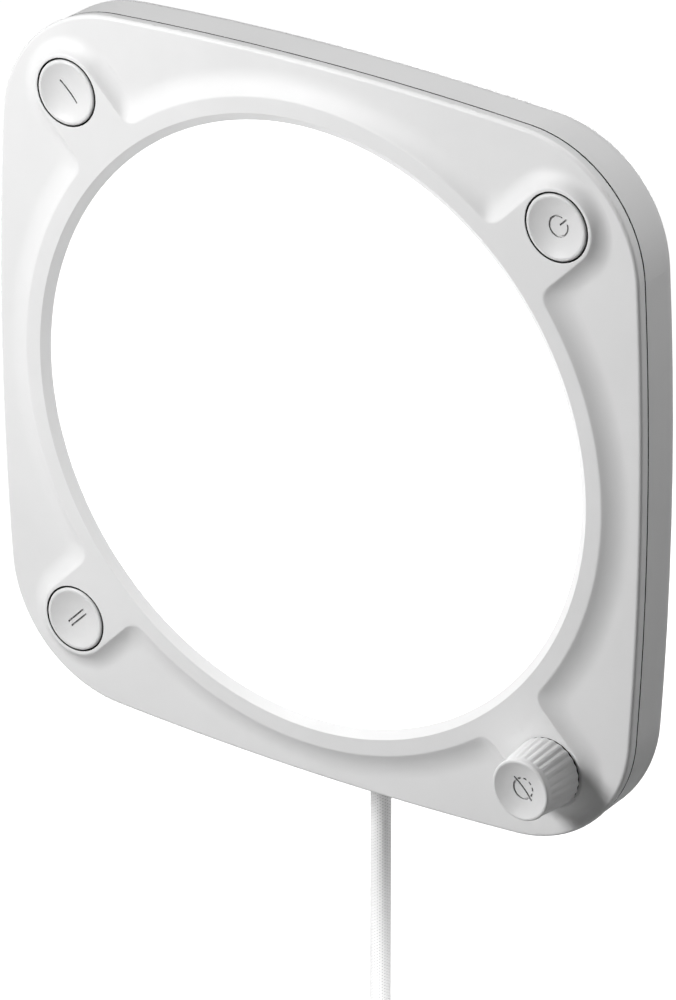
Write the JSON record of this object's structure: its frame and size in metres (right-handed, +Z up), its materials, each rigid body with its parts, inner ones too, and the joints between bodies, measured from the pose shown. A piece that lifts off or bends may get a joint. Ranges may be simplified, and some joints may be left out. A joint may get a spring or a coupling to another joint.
{
  "type": "led video light panel",
  "caption": "Rounded square desk and webcam light panel with a large round diffuser, corner push buttons, a ribbed knob, a threaded hub at the back and a braided power cord.",
  "frame": {"origin": "mouth of the threaded insert, at the middle of the hub's back face", "axes": "+Y from the front of the panel to its back, out of the thread's mouth; +X to the viewer's right from the front; +Z up"},
  "size_m": [0.1408, 0.0413, 0.3123],
  "materials": {
    "white_gloss": "smooth satin white moulding",
    "white_case": "satin white moulding",
    "white_keys": "satin white moulding, engraved",
    "opal": "opal diffusing sheet",
    "black_rubber": "soft black",
    "reflector_white": "diffuse white",
    "white_board": "white solder mask on aluminium core",
    "green_board": "green solder mask",
    "cool_led": "pale phosphor",
    "warm_led": "amber phosphor",
    "grey_pad": "soft grey",
    "aluminium": "mill finish",
    "steel": "zinc plated",
    "nickel": "nickel plated",
    "brass": "turned",
    "black_plastic": "moulded",
    "beige_plastic": "moulded",
    "ribbon": "flat flexible cable",
    "ferrite": "matt sintered",
    "can": "drawn can",
    "cord_white": "white braid",
    "cord_rubber": "soft white overmould"
  },
  "bodies": {
    "panel": {"cable_connectors": "beige_plastic", "capacitors": "can", "case_screws": "steel", "coil_tie": "black_rubber", "control_board": "green_board", "control_board_screws": "steel", "control_cable": "ribbon", "controller_chip": "black_plastic", "cool_leds": "cool_led", "cord_coil": "cord_white", "device_plug_overmould": "cord_rubber", "device_plug_shell": "nickel", "device_strain_relief": "cord_rubber", "diffuser": "opal", "diffuser_gasket": "black_rubber", "driver_chips": "black_plastic", "encoder_bush": "nickel", "encoder_housing": "black_plastic", "far_plug_insert": "black_plastic", "far_plug_overmould": "cord_rubber", "far_plug_shell": "nickel", "far_strain_relief": "cord_rubber", "front_bezel": "white_gloss", "heat_spreader": "aluminium", "hub_cover": "white_case", "hub_screws": "steel", "inductors": "ferrite", "led_board": "white_board", "led_cable": "ribbon", "power_board": "green_board", "power_cord": "cord_white", "power_switch_housing": "black_plastic", "preset_one_switch_housing": "black_plastic", "preset_two_switch_housing": "black_plastic", "rear_shell": "white_case", "reflector_ring": "reflector_white", "reflector_sheet": "reflector_white", "snap_domes": "steel", "spreader_screws": "steel", "thermal_pad": "grey_pad", "thread_insert": "brass", "usb_socket_shell": "nickel", "usb_socket_tongue": "black_plastic", "warm_leds": "warm_led"},
    "power_button": {"power_cap": "white_keys", "power_switch_plunger": "black_plastic"},
    "preset_one_button": {"preset_one_cap": "white_keys", "preset_one_switch_plunger": "black_plastic"},
    "preset_two_button": {"preset_two_cap": "white_keys", "preset_two_switch_plunger": "black_plastic"},
    "knob_push": {"encoder_push_disc": "black_plastic"},
    "knob": {"brightness_knob": "white_keys", "encoder_shaft": "nickel"}
  },
  "joints": [
    {"name": "power_press", "type": "slide", "parent": "panel", "child": "power_button", "axis": [0, 1, 0], "range_m": [0, 0.0005], "stiffness_N_per_m": 2000, "springref_m": -0.0003},
    {"name": "preset_one_press", "type": "slide", "parent": "panel", "child": "preset_one_button", "axis": [0, 1, 0], "range_m": [0, 0.0005], "stiffness_N_per_m": 2000, "springref_m": -0.0003},
    {"name": "preset_two_press", "type": "slide", "parent": "panel", "child": "preset_two_button", "axis": [0, 1, 0], "range_m": [0, 0.0005], "stiffness_N_per_m": 2000, "springref_m": -0.0003},
    {"name": "knob_press", "type": "slide", "parent": "panel", "child": "knob_push", "axis": [0, 1, 0], "range_m": [0, 0.0003], "stiffness_N_per_m": 2500, "springref_m": -0.0003},
    {"name": "knob_turn", "type": "hinge", "parent": "knob_push", "child": "knob", "pos_m": [0.053, -0.0324, -0.053], "axis": [0, 1, 0], "continuous": true}
  ]
}
